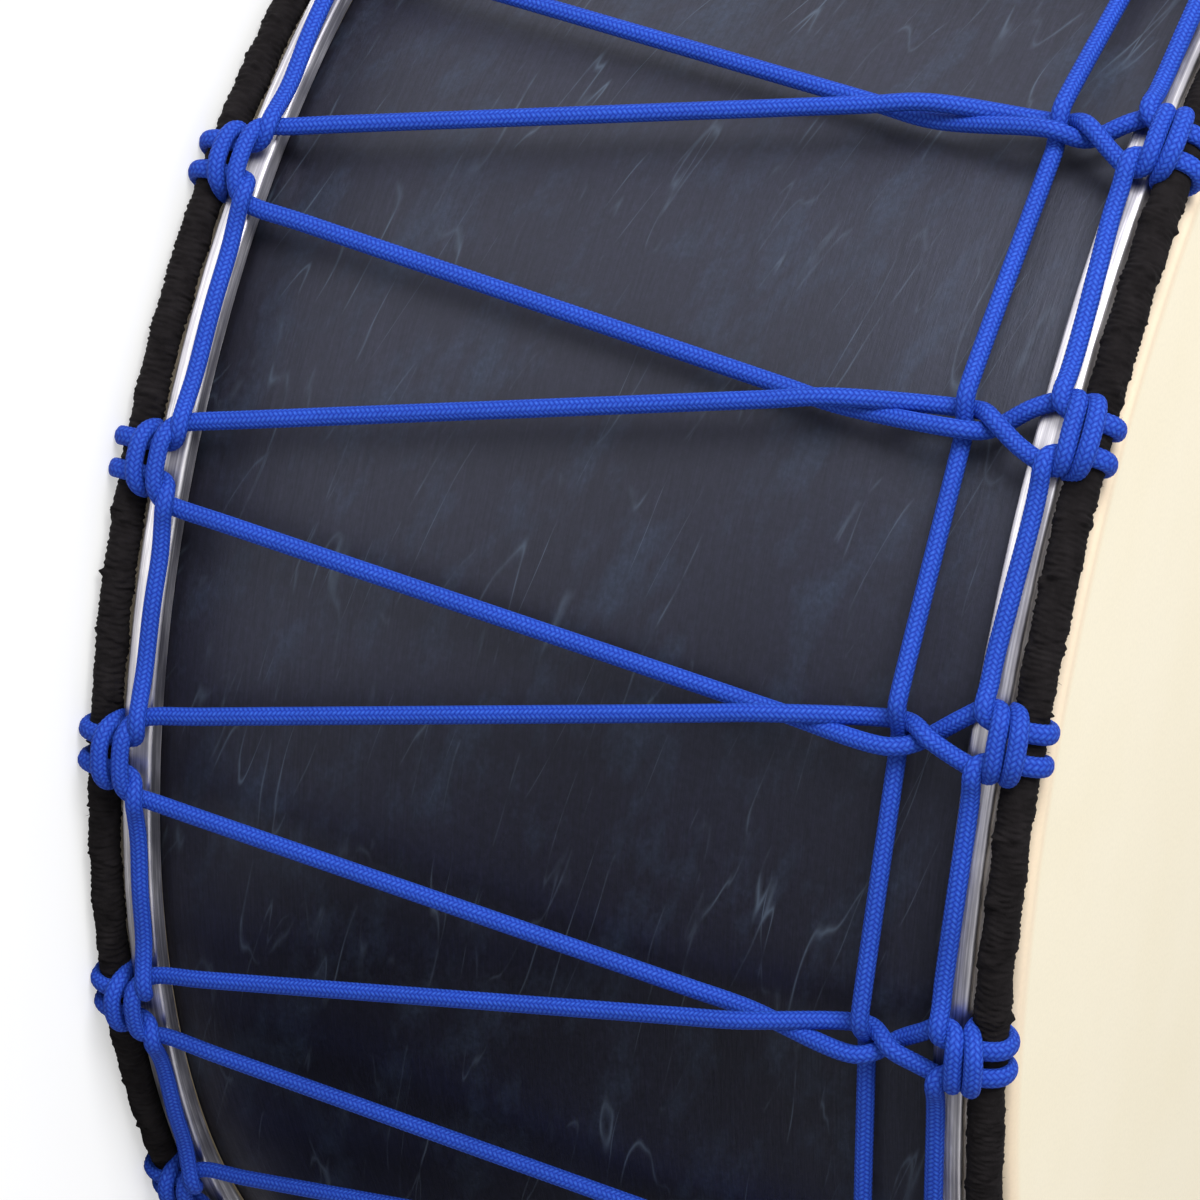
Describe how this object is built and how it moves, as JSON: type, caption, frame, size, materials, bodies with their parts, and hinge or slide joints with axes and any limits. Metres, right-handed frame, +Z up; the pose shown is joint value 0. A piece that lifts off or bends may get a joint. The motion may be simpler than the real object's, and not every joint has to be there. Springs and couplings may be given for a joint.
{
  "type": "drum",
  "caption": "Two-headed rope-tensioned drum with a stained wooden shell, steel hoops, cloth-wrapped pull rings and blue braided lacing.",
  "frame": {"origin": "on the surface that the drum stands on, on the drum's axis", "axes": "+Z up along the drum's axis, toward the playing head"},
  "size_m": [0.5748, 0.5748, 0.2879],
  "materials": {
    "stained_wood": "dark blue-black stain, satin",
    "rawhide": "matt cream rawhide",
    "polished_steel": "brushed and polished",
    "plain_steel": "plain rod",
    "black_cloth": "frayed black cotton",
    "blue_braid": "braided, low sheen"
  },
  "bodies": {
    "root": {"shell": "stained_wood", "playing_head": "rawhide", "back_head": "rawhide", "upper_hoop": "polished_steel", "lower_hoop": "polished_steel", "upper_ring_rod": "plain_steel", "lower_ring_rod": "plain_steel", "upper_ring_wrap": "black_cloth", "lower_ring_wrap": "black_cloth", "upper_cradle_rope": "blue_braid", "lower_cradle_rope": "blue_braid", "lacing_rope": "blue_braid", "weave_rope": "blue_braid"}
  },
  "joints": []
}
